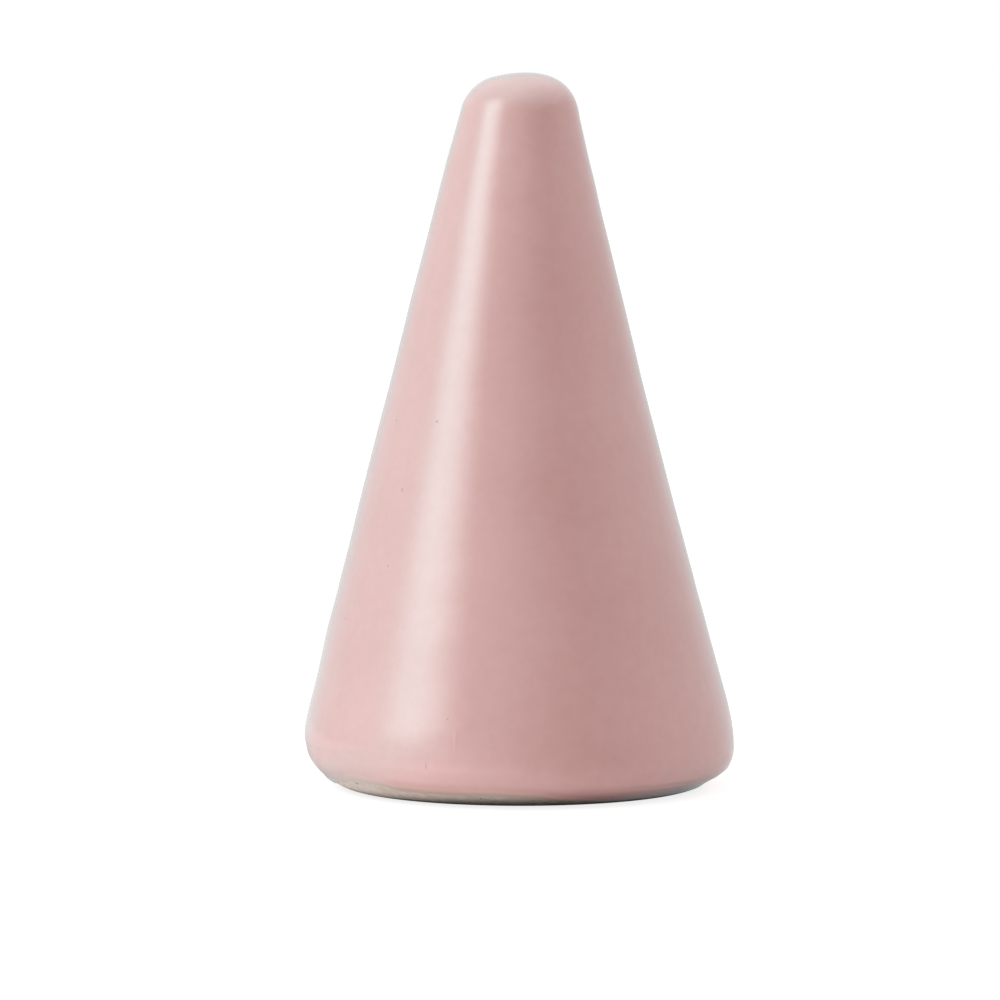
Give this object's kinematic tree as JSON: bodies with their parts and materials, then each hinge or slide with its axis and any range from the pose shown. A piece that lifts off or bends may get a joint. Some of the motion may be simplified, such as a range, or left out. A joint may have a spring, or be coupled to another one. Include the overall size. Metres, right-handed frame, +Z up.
{
  "type": "ring holder",
  "caption": "Hollow glazed stoneware cone with a blunt round tip and a rounded base on a bare clay foot, for slipping finger rings over.",
  "frame": {"origin": "middle of the foot, on the surface that the holder stands on", "axes": "+Z up along the cone's axis, from the foot to the tip; X and Y lie in the standing surface and are alike"},
  "size_m": [0.05, 0.05, 0.083],
  "materials": {
    "bare_stoneware": "matte",
    "pink_glaze": "gloss"
  },
  "bodies": {
    "root": {"stoneware_body": "bare_stoneware", "pink_glaze": "pink_glaze"}
  },
  "joints": []
}
